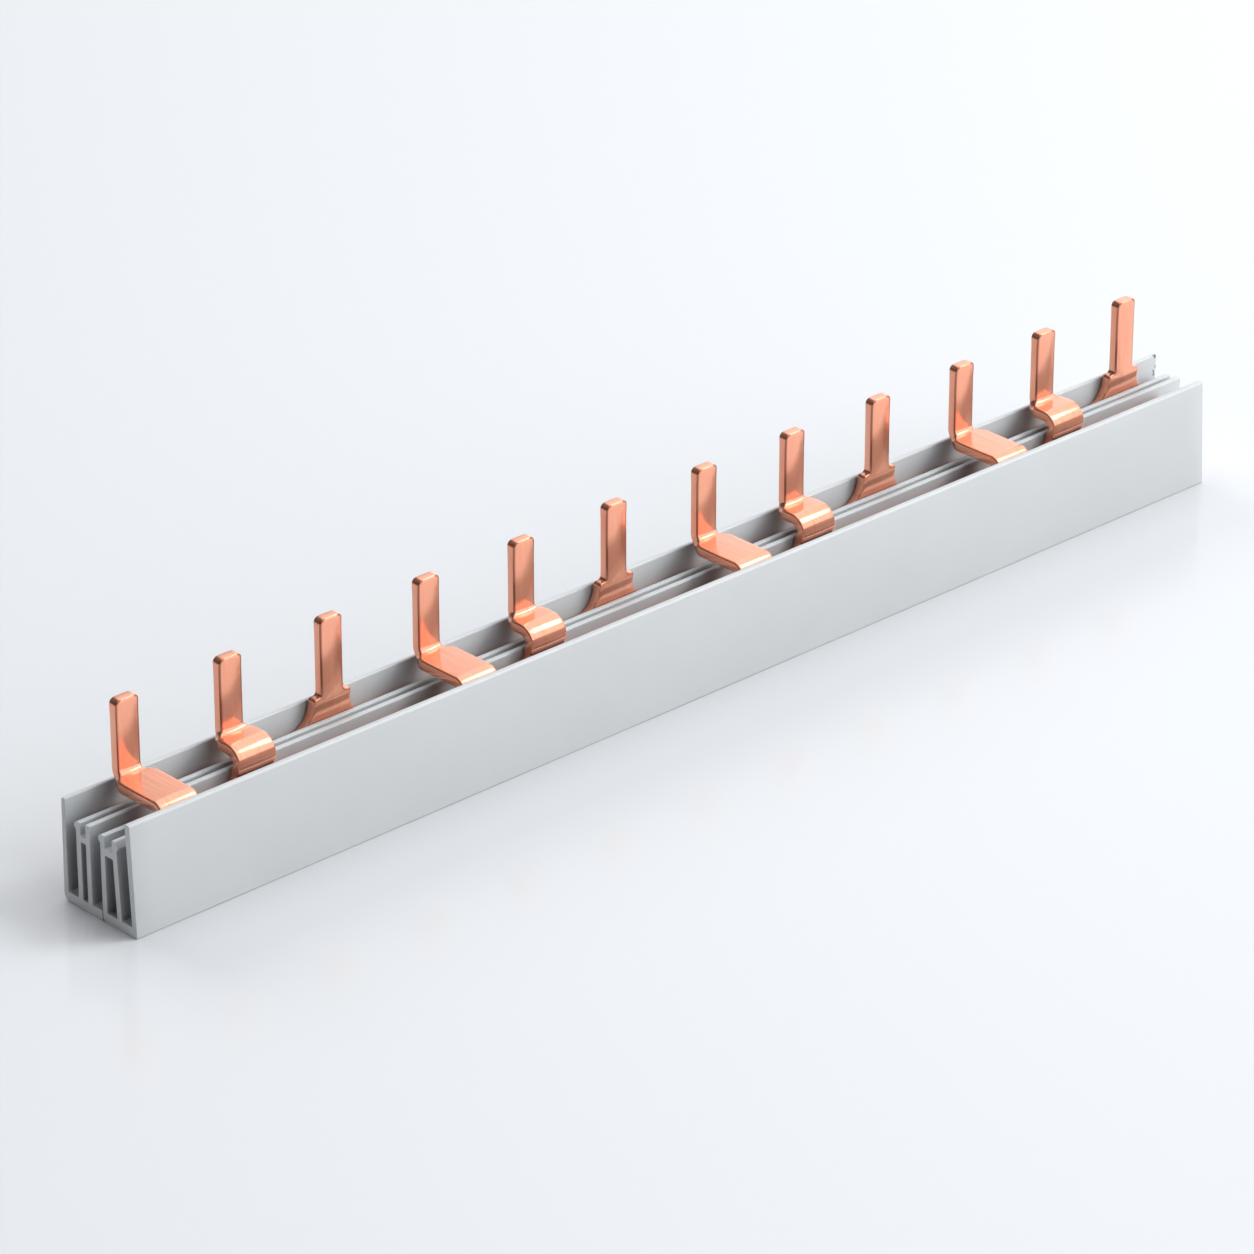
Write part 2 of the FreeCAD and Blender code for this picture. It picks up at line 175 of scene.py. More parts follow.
class BusbarLooks(bpy.types.PropertyGroup):
    """Colours of the surfaces and of the stage."""
    plastic: shade("Insulation", "Light grey of the extrusion", "#A6A9AB")
    plastic_dark: shade("Insulation, deeper", "Slightly deeper grey between its marks", "#9FA2A4")
    # painted light: the paler grey painted on the sawn ends
    plastic_sawn_lit: shade("Insulation, sawn", "Paler grey where the saw cut it", "#D2D4D6")
    plastic_chip: shade("Insulation, chipped", "Dark chips beside the far cut", "#55585B")
    copper: shade("Copper", "Satin copper", "#FFBDA0")
    copper_deep: shade("Copper, deeper", "Copper in its brush lines", "#F0906B")
    # painted shade: the dark copper painted along the pins' rolled edges
    copper_edge_shade: shade("Copper, edges", "Dull copper along the pins' rolled edges", "#94523E")
    floor: shade("Floor", "Pale studio floor", "#B1B3B6")
    sky: shade("Surroundings", "Light of the pale studio", "#F4F5F7")


# Meshes

def rounded(corners, steps=5, closed=True):
    """Outline through (across, up, radius) corners, in metres.

    Each corner becomes an arc tangent to its two sides: its centre lies on the bisector at
    radius / sin(half the angle), and the arc's points turn evenly from one side to the other."""
    corners = np.array(corners, float)
    points, radii = corners[:, :2], np.maximum(corners[:, 2], LEAST_ROUND)
    inner = slice(None) if closed else slice(1, -1)
    before = (np.roll(points, 1, 0) - points)[inner]
    after = (np.roll(points, -1, 0) - points)[inner]
    before /= np.linalg.norm(before, axis=1, keepdims=True)
    after /= np.linalg.norm(after, axis=1, keepdims=True)
    half = np.arccos(np.clip((before * after).sum(1), -1, 1)) / 2
    bisector = before + after
    bisector /= np.linalg.norm(bisector, axis=1, keepdims=True)
    middle, radius = points[inner], radii[inner]
    centre = middle + bisector * (radius / np.sin(half))[:, None]
    reach = (radius / np.tan(half))[:, None]
    start, end = middle + before * reach - centre, middle + after * reach - centre
    sweep = (math.pi - 2 * half)[:, None, None]
    turn = np.linspace(0, 1, steps + 1)[None, :, None]
    arcs = start[:, None] * np.sin((1 - turn) * sweep) + end[:, None] * np.sin(turn * sweep)
    arcs = (centre[:, None] + arcs / np.sin(sweep)).reshape(-1, 2)
    return arcs if closed else np.vstack([points[:1], arcs, points[-1:]])


def distances(line):
    """Length along an open line up to each of its points."""
    return np.concatenate([[0], np.cumsum(np.linalg.norm(np.diff(line, axis=0), axis=1))])


def directions(line):
    """Direction of an open line at each of its points, of length one."""
    step = np.gradient(line, axis=0)
    return step / np.linalg.norm(step, axis=1, keepdims=True)


def walk(outline, spacing):
    """Points at an even spacing along an open outline."""
    along = distances(outline)
    places = np.linspace(0, along[-1], max(int(along[-1] / spacing), 2) + 1)
    return np.stack([np.interp(places, along, outline[:, i]) for i in (0, 1)], 1)


def quads(rows, columns, closed=False):
    """Four-cornered faces of a grid whose points are numbered row by row."""
    number = np.arange(rows * columns).reshape(rows, columns)
    if closed:
        number = np.hstack([number, number[:, :1]])
    return np.stack([number[:-1, :-1], number[:-1, 1:], number[1:, 1:], number[1:, :-1]],
                    -1).reshape(-1, 4).tolist()


def joined(parts):
    """One set of points and faces from several."""
    points, faces, start = [], [], 0
    for part_points, part_faces in parts:
        points.append(part_points)
        faces += [[corner + start for corner in face] for face in part_faces]
        start += len(part_points)
    return np.vstack(points), faces


def new_piece(name, node, slot, points, faces, material, sheet=None, edge=None):
    """Object at the origin that stands for a CAD node, with welded points and outward faces.

    sheet gives each point its place on the flat sheet, across and along, in metres, and is kept
    as the UV map. edge is 1 in the middle of a pin's rolled edge and 0 on the faces, and is kept
    as an attribute."""
    mesh = bpy.data.meshes.new(name)
    mesh.from_pydata(points.tolist(), [], faces)
    if edge is not None:
        layer = mesh.attributes.new("edge", "FLOAT", "POINT")
        layer.data.foreach_set("value", edge.astype(np.float32))
    if sheet is not None:
        corners = np.empty(len(mesh.loops), np.int32)
        mesh.loops.foreach_get("vertex_index", corners)
        layer = mesh.uv_layers.new(name="sheet")
        layer.data.foreach_set("uv", sheet[corners].astype(np.float32).ravel())
    cleaned = bmesh.new()
    cleaned.from_mesh(mesh)
    bmesh.ops.remove_doubles(cleaned, verts=cleaned.verts, dist=WELD)
    rim = [line for line in cleaned.edges if line.is_boundary]
    if rim:
        bmesh.ops.holes_fill(cleaned, edges=rim, sides=0)
    bmesh.ops.recalc_face_normals(cleaned, faces=cleaned.faces)
    cleaned.to_mesh(mesh)
    cleaned.free()
    mesh.polygons.foreach_set("use_smooth", [True] * len(mesh.polygons))
    mesh.set_sharp_from_angle(angle=SHARP_ANGLE)
    mesh.materials.append(material)
    piece = bpy.data.objects.new(name, mesh)
    bpy.context.scene.collection.objects.link(piece)
    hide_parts(node)
    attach(piece, "root")


# Insulation

def section_depths(size):
    """Depths of the walls and ribs, from the front edge of the floor to the rear one."""
    at = {"front_hook": size.wall + size.slot}
    at["fourth_front"] = at["front_hook"] + size.hook
    at["fourth_rear"] = at["fourth_front"] + size.rib
    at["third_front"] = at["fourth_rear"] + size.front_chamber
    at["third_rear"] = at["third_front"] + size.rib
    at["middle_hook"] = at["third_rear"] + size.hook
    at["second_front"] = at["middle_hook"] + size.slot
    at["second_rear"] = at["second_front"] + size.rib
    at["first_front"] = at["second_rear"] + size.rear_chamber
    at["first_rear"] = at["first_front"] + size.rib
    at["rear_hook"] = at["first_rear"] + size.hook
    at["rear_wall_in"] = at["rear_hook"] + size.slot
    at["depth"] = at["rear_wall_in"] + size.wall
    return at


def in_bar(corners, depth):
    """Rounded outline of (depth, height, radius) corners, whose depth counts from the front edge
    of a bar that is depth deep, moved to the bar's middle."""
    return rounded(np.array(corners, float) - (depth / 2, 0, 0))


def rear_section(size):
    """Outline and closed chamber of the rear profile: floor, rear wall and ribs one and two."""
    at = section_depths(size)
    top, tall_top = size.rib_top, size.rib_top + size.tall_rib
    low = size.bridge_top - size.bridge
    outline = [
        (at["third_rear"] + size.seam, 0, EDGE), (at["depth"], 0, size.foot_round),
        (at["depth"] - size.rear_taper, size.rear_height, LIP),
        (at["rear_wall_in"], size.rear_height, CREST), (at["rear_wall_in"], size.floor, ROOT),
        (at["first_rear"], size.floor, ROOT), (at["first_rear"], size.hook_low, EDGE),
        (at["rear_hook"], size.hook_low + size.hook, CREST),
        (at["rear_hook"], top - size.hook, CREST),
        (at["first_rear"] - size.hook_slant, top, CREST), (at["first_front"], top, CREST),
        (at["first_front"], size.bridge_top, ROOT), (at["second_rear"], size.bridge_top, ROOT),
        (at["second_rear"], tall_top, CREST), (at["second_front"], tall_top, CREST),
        (at["second_front"], size.floor, ROOT), (at["third_rear"] + size.seam, size.floor, EDGE),
    ]
    chamber = [
        (at["second_rear"], size.floor, ROOT), (at["first_front"], size.floor, ROOT),
        (at["first_front"], low, ROOT), (at["second_rear"], low, ROOT),
    ]
    return [in_bar(outline, at["depth"]), in_bar(chamber, at["depth"])]


def front_section(size):
    """Outline and closed chamber of the front profile, whose wall, slot and barb lean inward:
    their depth grows evenly with height, by front_lean from the floor to the wall's top."""
    at = section_depths(size)
    lean = size.front_lean / (size.front_height - size.floor)

    def leaning(depth, height, radius):
        return depth + lean * (height - size.floor), height, radius

    top, low = size.rib_top, size.bridge_top - size.bridge
    outline = [
        (0, 0, CREST), (at["third_rear"], 0, 2 * LIP), (at["third_rear"], size.hook_low, EDGE),
        (at["middle_hook"], size.hook_low + size.hook, CREST),
        (at["middle_hook"], top - size.hook, CREST),
        (at["third_rear"] - size.hook_slant, top, CREST), (at["third_front"], top, CREST),
        (at["third_front"], size.bridge_top, ROOT),
        leaning(at["fourth_rear"], size.bridge_top, ROOT),
        leaning(at["fourth_rear"], top, CREST),
        leaning(at["fourth_front"] + size.hook_slant, top, CREST),
        leaning(at["front_hook"], top - size.barb_drop, EDGE),
        leaning(at["fourth_front"], size.hook_low - EDGE, EDGE),
        (at["fourth_front"], size.floor, ROOT), (size.wall, size.floor, ROOT),
        leaning(size.wall, size.front_height, CREST), leaning(0, size.front_height, LIP),
    ]
    chamber = [
        (at["fourth_rear"], size.floor, ROOT), (at["third_front"], size.floor, ROOT),
        (at["third_front"], low, ROOT), leaning(at["fourth_rear"], low, ROOT),
    ]
    return [in_bar(outline, at["depth"]), in_bar(chamber, at["depth"])]


def extruded(outlines, near, far, cut_round):
    """Profile pulled along X, of an outline and its holes: they repeat at even stations, and over
    the last stretch at each end every point moves into the material along its outline's normal,
    by a quarter circle of radius cut_round."""
    turn = np.linspace(0, math.pi / 2, CUT_STEPS + 1)
    ease = cut_round * (1 - np.sin(turn))
    near_x = near + cut_round * (1 - np.cos(turn))
    far_x = far - cut_round * (1 - np.cos(turn))
    between = np.linspace(near + cut_round, far - cut_round, STATIONS)[1:-1]
    stations = np.concatenate([near_x, between, far_x[::-1]])
    inward = np.concatenate([ease, np.zeros(len(between)), ease[::-1]])
    parts, rings = [], []
    for number, outline in enumerate(outlines):
        tangent = np.roll(outline, -1, 0) - np.roll(outline, 1, 0)
        tangent /= np.linalg.norm(tangent, axis=1, keepdims=True)
        area = np.sum(outline[:, 0] * np.roll(outline[:, 1], -1)
                      - np.roll(outline[:, 0], -1) * outline[:, 1])
        into = np.stack([-tangent[:, 1], tangent[:, 0]], 1) * np.sign(area)
        into *= -1 if number else 1
        across = outline[None] + into[None] * inward[:, None, None]
        along = np.broadcast_to(stations[:, None, None], across.shape[:2] + (1,))
        points = np.concatenate([along, across], 2).reshape(-1, 3)
        parts.append((points, quads(len(stations), len(outline), closed=True)))
        rings.append((points[:len(outline)], points[-len(outline):]))
    for end in (0, 1):
        loops = [[Vector(point[1:].tolist() + [0]) for point in ring[end]] for ring in rings]
        cap = np.vstack([ring[end] for ring in rings])
        parts.append((cap, tessellate_polygon(loops)))
    return joined(parts)


# Copper

def fold(corners):
    """Middle line of a bent sheet through (depth, height, radius) corners, as a table.

    Its rows are the length along the line, the depth and the height, and the direction there."""
    line = walk(rounded(corners, steps=24, closed=False), FOLD_SPACING)
    return np.column_stack([distances(line), line, directions(line)])


def bent(flat, line, tooth_x):
    """Moves flat sheet points (across, along, out) onto a fold.

    The place is the fold's point at that length, plus out times its normal, which is the
    direction turned a quarter towards the front."""
    depth, height, ahead_y, ahead_z = (np.interp(flat[:, 1], line[:, 0], line[:, i])
                                       for i in (1, 2, 3, 4))
    return np.stack([tooth_x + flat[:, 0], depth - ahead_z * flat[:, 2],
                     height + ahead_y * flat[:, 2]], 1)


def flat_tooth(side, size):
    """Closed flat tooth whose right side is an outline (across, along) from root to tip.

    With P on the outline and n its inward normal, the rolled edge is P + n w (1 - sin t) at
    half the thickness - crown - r (1 - cos t), for t from 0 to a quarter turn. The front, the top
    and the back are one grid between the mirrored sides, and at a share s of the half width the
    faces stand crown (1 - s squared) proud of their edges. The crown grows smoothly from the
    shelf's to the pin's around the place where the tooth is down to its pin's width, and fades
    evenly before the tip. The third result is 1 in the middle of a pin's rolled edge."""
    roll, width = size.edge_roll, size.edge_width
    pin_start = side[np.argmax(side[:, 0] < size.half_pin + ON_PIN), 1]
    share = np.clip((side[:, 1] - pin_start) / CROWN_GROWTH + 0.5, 0, 1)
    fade = np.clip((side[-1, 1] - side[:, 1]) / CROWN_FADE, 0, 1)
    crown = size.crown + (size.pin_crown - size.crown) * share ** 2 * (3 - 2 * share) * fade
    half = size.thickness / 2 - crown
    tangent = directions(side)
    tangent[-1] = (-1, 0)
    inward = np.stack([-tangent[:, 1], tangent[:, 0]], 1)
    turn = np.linspace(0, math.pi / 2, ROLL_STEPS + 1)
    ease = width * (1 - np.sin(turn))
    out = half[:, None] - roll * (1 - np.cos(turn))
    # painted shade across a rolled edge: none at its two ends, most in its middle
    painted_shade = np.sin(2 * turn) ** 2
    ease, painted_shade = (np.concatenate([values, values[::-1]]) for values in (ease, painted_shade))
    out = np.hstack([out, -out[:, ::-1]])

    rolled = side[:, None] + inward[:, None] * ease[None, :, None]
    right = np.concatenate([rolled, out[:, :, None]], 2).reshape(-1, 3)
    faces = quads(len(side), len(ease))
    # mask of the painted shade along the rolled edges, on the pins only
    edge = (share[:, None] * painted_shade).ravel()

    inner = side + inward * width
    tip = np.stack([np.full(len(ease), side[-1, 0]), side[-1, 1] - ease], 1)[1:-1]
    border = np.vstack([inner, tip, inner[::-1]])
    level = np.concatenate([half, out[-1, 1:-1], -half[::-1]])
    bulge = np.concatenate([crown, crown[-1] * out[-1, 1:-1] / half[-1], -crown[::-1]])
    place = np.linspace(-1, 1, FACE_STEPS + 1)
    across = border[:, :1] * place[None]
    up = np.broadcast_to(border[:, 1:], across.shape)
    over = np.stack([across, up, level[:, None] + bulge[:, None] * (1 - place ** 2)], 2)
    points, faces = joined([(right, faces), (right * (-1, 1, 1), faces),
                            (over.reshape(-1, 3), quads(*across.shape))])
    return points, faces, np.concatenate([edge, edge, np.zeros(across.size)])


def copper_comb(name, node, number, strip_depth, line, side, size, material):
    """One comb: the strip, a bar with rolled edges, and its teeth, whose roots run into it."""
    low, top, half = size.strip_low, size.strip_top, size.thickness / 2
    bar = rounded([(strip_depth + out, height, size.edge_roll)
                   for out, height in ((-half, low), (half, low), (half, top), (-half, top))],
                  steps=4)
    strip, strip_faces = extruded([bar], -size.half_strip, size.half_strip, size.strip_round)
    flat, faces, edge = flat_tooth(walk(side, SIDE_SPACING), size)
    parts, sheets = [(strip, strip_faces)], [strip[:, [2, 0]]]
    first = size.pitch * (number - (PHASES * TEETH_PER_PHASE - 1) / 2)
    for tooth in range(TEETH_PER_PHASE):
        tooth_x = first + size.pitch * PHASES * tooth
        parts.append((bent(flat, line, tooth_x), faces))
        sheets.append(flat[:, :2] + (tooth_x, low))
    edges = [np.zeros(len(strip))] + [edge] * TEETH_PER_PHASE
    new_piece(name, node, COPPER, *joined(parts), material, np.vstack(sheets),
              np.concatenate(edges))


def root_side(root, size):
    """Start of a tooth's side: from inside the strip up to its edge, in along that edge, and up
    by a sweep of the root's radius."""
    strip_edge = size.strip_top - size.strip_low
    foot = size.half_base + root + ROOT_REACH
    return [(foot, strip_edge - ROOT_DEPTH, 0), (foot, strip_edge, ROOT_TURN),
            (size.half_base, strip_edge, root)]


def pin_side(side, size, end):
    """Side of a tooth on up its pin to the tip, up to where the tip's corner is level."""
    outline = rounded(side + [(size.half_pin, end, size.pin_corner), (0, end, 0)], steps=10,
                      closed=False)
    return outline[:np.argmax(outline[:, 1] >= end - AT_TIP) + 1]


def along_at(line, value, column):
    """Length along a fold where its depth (1) or height (2) first passes a value."""
    return line[np.argmax(line[:, column] >= value), 0]


def shouldered_side(line, size):
    """Side of a tooth that steps in to its pin at a shoulder."""
    shoulder = along_at(line, size.shoulder, 2)
    return pin_side(root_side(size.rear_root, size) + [
        (size.half_base, shoulder - size.shoulder_fall, size.shoulder_round),
        (size.half_pin, shoulder + size.shoulder_fall, size.shoulder_round),
    ], size, line[-1, 0])


def necked_side(line, size, root, past):
    """Side of a tooth whose shelf narrows to its pin, up to a length past the pin's front face
    along the sheet."""
    neck_end = along_at(line, size.pin_depth - size.thickness / 2, 1) + past
    return pin_side(root_side(root, size) + [
        (size.half_base, neck_end - size.neck, size.neck_round),
        (size.half_pin, neck_end, size.neck_hollow),
    ], size, line[-1, 0])


# Materials

def wire(tree, node, links=(), values=()):
    """Links (input, output) pairs to a node and sets (input, value) pairs of it."""
    for name, output in links:
        tree.links.new(output, node.inputs[name])
    for name, value in values:
        node.inputs[name].default_value = value


def add_node(tree, kind, links=(), values=(), **settings):
    """Adds a node with its links and values, and sets its attributes, or else its inputs."""
    node = tree.nodes.new(kind)
    for name, value in settings.items():
        if hasattr(node, name):
            setattr(node, name, value)
        else:
            node.inputs[name.replace("_", " ")].default_value = value
    wire(tree, node, links, values)
    return node


def new_material(name):
    """An empty material, its node tree and its surface shader."""
    material = bpy.data.materials.new(name)
    material.use_nodes = True
    return material, material.node_tree, material.node_tree.nodes["Principled BSDF"]


def extruded_pvc(looks):
    """Extruded rigid PVC: an even satin grey with faint draw lines along the bar, more matt and
    painted paler as painted light on its sawn ends, with a few dark chips beside the far cut."""
    material, tree, shader = new_material("extruded_rigid_pvc")
    place = add_node(tree, "ShaderNodeTexCoord").outputs["Object"]
    # draw lines: 0.35 mm apart across the bar and 60 mm long, coarser than real ones to show
    stretched = add_node(tree, "ShaderNodeMapping", [("Vector", place)],
                         Scale=(1 / (60 * MM), 1 / (0.35 * MM), 1 / (0.35 * MM)))
    lines = add_node(tree, "ShaderNodeTexNoise", [("Vector", stretched.outputs["Vector"])],
                     Scale=1.0, Detail=2.0)
    # cloudiness of the pigment, 12 mm across
    clouds = add_node(tree, "ShaderNodeTexNoise", [("Vector", place)],
                      Scale=1 / (12 * MM), Detail=3.0)
    tint = add_node(tree, "ShaderNodeMix", [("Factor", clouds.outputs["Fac"])],
                    [(FIRST, (*looks.plastic, 1)), (SECOND, (*looks.plastic_dark, 1))],
                    data_type="RGBA")

    # the cut ends are told from the sides by their normal
    normal = add_node(tree, "ShaderNodeNewGeometry").outputs["Normal"]
    facing = add_node(tree, "ShaderNodeSeparateXYZ", [("Vector", normal)])
    ends = add_node(tree, "ShaderNodeMath", [(0, facing.outputs["X"])], operation="ABSOLUTE")
    cut = add_node(tree, "ShaderNodeMapRange", [("Value", ends.outputs["Value"])],
                   From_Min=0.8, From_Max=0.95)
    # painted light: the sawn ends, told by their normal, are painted a paler grey
    sawn = add_node(tree, "ShaderNodeMix",
                    [("Factor", cut.outputs["Result"]), (FIRST, tint.outputs[MIXED])],
                    [(SECOND, (*looks.plastic_sawn_lit, 1))], data_type="RGBA")

    # chips 0.3 to 0.5 mm wide, high on the rear wall's inner face, in the last 0.9 mm of it
    axes = add_node(tree, "ShaderNodeSeparateXYZ", [("Vector", place)])
    beside = add_node(tree, "ShaderNodeMapRange", [("Value", axes.outputs["X"])],
                      From_Min=106.6 * MM, From_Max=106.8 * MM)
    high = add_node(tree, "ShaderNodeMapRange", [("Value", axes.outputs["Z"])],
                    From_Min=11.2 * MM, From_Max=11.4 * MM)
    inner = add_node(tree, "ShaderNodeMath", [(0, axes.outputs["Y"])],
                     [(1, 6.7 * MM), (2, 0.3 * MM)], operation="COMPARE")
    pits = add_node(tree, "ShaderNodeTexNoise", [("Vector", place)],
                    Scale=1 / (0.8 * MM), Detail=1.0)
    pitted = add_node(tree, "ShaderNodeMapRange", [("Value", pits.outputs["Fac"])],
                      From_Min=0.53, From_Max=0.6)
    chips = pitted.outputs["Result"]
    for limit in (beside.outputs["Result"], high.outputs["Result"], inner.outputs["Value"]):
        chips = add_node(tree, "ShaderNodeMath", [(0, chips), (1, limit)],
                         operation="MULTIPLY").outputs["Value"]
    chipped = add_node(tree, "ShaderNodeMix", [("Factor", chips), (FIRST, sawn.outputs[MIXED])],
                       [(SECOND, (*looks.plastic_chip, 1))], data_type="RGBA")

    # the cut adds a quarter to the roughness
    rough = add_node(tree, "ShaderNodeMapRange", [("Value", lines.outputs["Fac"])],
                     To_Min=0.27, To_Max=0.4)
    rougher = add_node(tree, "ShaderNodeMath",
                       [(0, cut.outputs["Result"]), (2, rough.outputs["Result"])], [(1, 0.25)],
                       operation="MULTIPLY_ADD")
    bump = add_node(tree, "ShaderNodeBump", [("Height", lines.outputs["Fac"])],
                    Strength=0.12, Distance=0.02 * MM)
    wire(tree, shader, [("Base Color", chipped.outputs[MIXED]),
                        ("Roughness", rougher.outputs["Value"]),
                        ("Normal", bump.outputs["Normal"])], [("IOR", 1.53)])
    return material


def satin_copper(looks):
    """Rolled and stamped copper, brushed along the sheet: a warm metal with fine lines that
    stretch its highlights, slightly cloudy where it was handled, with painted shade on the rolled
    edges of its pins. A thin clear film against tarnish whitens the brightest highlights."""
    material, tree, shader = new_material("satin_rolled_copper")
    place = add_node(tree, "ShaderNodeUVMap", uv_map="sheet").outputs["UV"]
    # brush lines: 0.2 mm wide and 9 mm long on the flat sheet, coarser than real ones to show
    stretched = add_node(tree, "ShaderNodeMapping", [("Vector", place)],
                         Scale=(1 / (0.2 * MM), 1 / (9 * MM), 1))
    lines = add_node(tree, "ShaderNodeTexNoise", [("Vector", stretched.outputs["Vector"])],
                     Scale=1.0, Detail=2.0)
    # marks of handling, 4 mm across
    clouds = add_node(tree, "ShaderNodeTexNoise", [("Vector", place)],
                      Scale=1 / (4 * MM), Detail=3.0)
    tint = add_node(tree, "ShaderNodeMix", [("Factor", lines.outputs["Fac"])],
                    [(FIRST, (*looks.copper_deep, 1)), (SECOND, (*looks.copper, 1))],
                    data_type="RGBA")
    # painted shade: a dark copper mixed in along the pins' rolled edges, where the edge mask is 1
    edge = add_node(tree, "ShaderNodeAttribute", attribute_name="edge")
    shaded_copper = add_node(tree, "ShaderNodeMix",
                      [("Factor", edge.outputs["Fac"]), (FIRST, tint.outputs[MIXED])],
                      [(SECOND, (*looks.copper_edge_shade, 1))], data_type="RGBA")
    rough = add_node(tree, "ShaderNodeMapRange", [("Value", clouds.outputs["Fac"])],
                     To_Min=0.15, To_Max=0.23)
    bump = add_node(tree, "ShaderNodeBump", [("Height", lines.outputs["Fac"])],
                    Strength=0.09, Distance=0.01 * MM)
    wire(tree, shader, [("Base Color", shaded_copper.outputs[MIXED]),
                        ("Roughness", rough.outputs["Result"]),
                        ("Normal", bump.outputs["Normal"])],
         [("Metallic", 0.83), ("Coat Weight", 0.5), ("Coat Roughness", 0.16)])
    return material


def coated_board(looks):
    """Coated board of a photo studio: pale, with a soft gloss that shows a blurred reflection."""
    material, tree, shader = new_material("coated_studio_board")
    place = add_node(tree, "ShaderNodeTexCoord").outputs["Object"]
    # grain of the coating, 50 mm across
    grain = add_node(tree, "ShaderNodeTexNoise", [("Vector", place)],
                     Scale=1 / (50 * MM), Detail=2.0)
    rough = add_node(tree, "ShaderNodeMapRange", [("Value", grain.outputs["Fac"])],
                     To_Min=0.12, To_Max=0.16)
    wire(tree, shader, [("Roughness", rough.outputs["Result"])],
         [("Base Color", (*looks.floor, 1)), ("IOR", 1.45)])
    return material


# Operators

class BUSBAR_OT_insulation(bpy.types.Operator):
    """Build the two extruded insulation profiles"""
    bl_idname = "busbar.insulation"
    bl_label = "Insulation profiles"

    def execute(self, context):
        size = context.scene.busbar_insulation
        material = extruded_pvc(context.scene.busbar_looks)
        near, far = -size.half_length, size.half_length
        for name, node, outlines, end in (
                ("rear_profile", "rear_insulation_profile", rear_section(size), far),
                ("front_profile", "front_insulation_profile", front_section(size),
                 far - size.front_short)):
            points, faces = extruded(outlines, near, end, size.cut_round)
            new_piece(name, node, INSULATION, points, faces, material)
        return {"FINISHED"}


class BUSBAR_OT_combs(bpy.types.Operator):
    """Build the three bent copper combs"""
    bl_idname = "busbar.combs"
    bl_label = "Copper combs"

    def execute(self, context):
        size = context.scene.busbar_copper
        section = context.scene.busbar_insulation
        at = section_depths(section)
        material = satin_copper(context.scene.busbar_looks)
        low = size.strip_low
        # a strip stands in the middle of its channel, which starts at a hook or the front wall
        to_middle = section.slot / 2 - at["depth"] / 2
        rear, middle, front = (start + to_middle
                               for start in (at["rear_hook"], at["middle_hook"], section.wall))
        tip = (size.pin_depth, size.pin_top, 0)

        line = fold([(rear, low, 0), (rear, size.rear_jog_low, size.jog_bend),
                     (size.pin_depth, size.rear_jog_top, size.jog_bend), tip])
        copper_comb("rear_comb", "rear_phase_comb", 2, rear, line,
                    shouldered_side(line, size), size, material)

        hump = middle - size.middle_jog
        line = fold([(middle, low, 0), (middle, size.middle_jog_low, size.jog_bend),
                     (hump, size.middle_jog_top, size.jog_bend),
                     (hump, size.middle_shelf, size.hump_bend),
                     (size.pin_depth, size.middle_shelf, size.pin_bend), tip])
        copper_comb("middle_comb", "middle_phase_comb", 1, middle, line,
                    necked_side(line, size, size.middle_root, size.middle_neck), size, material)

        lean = section.front_lean / (section.front_height - section.floor)
        crease = front + lean * (size.front_shelf - low)
        line = fold([(front, low, 0), (crease, size.front_shelf, size.crease_bend),
                     (size.pin_depth, size.front_shelf, size.pin_bend), tip])
        copper_comb("front_comb", "front_phase_comb", 0, front, line,
                    necked_side(line, size, size.front_root, size.front_neck), size, material)
        return {"FINISHED"}


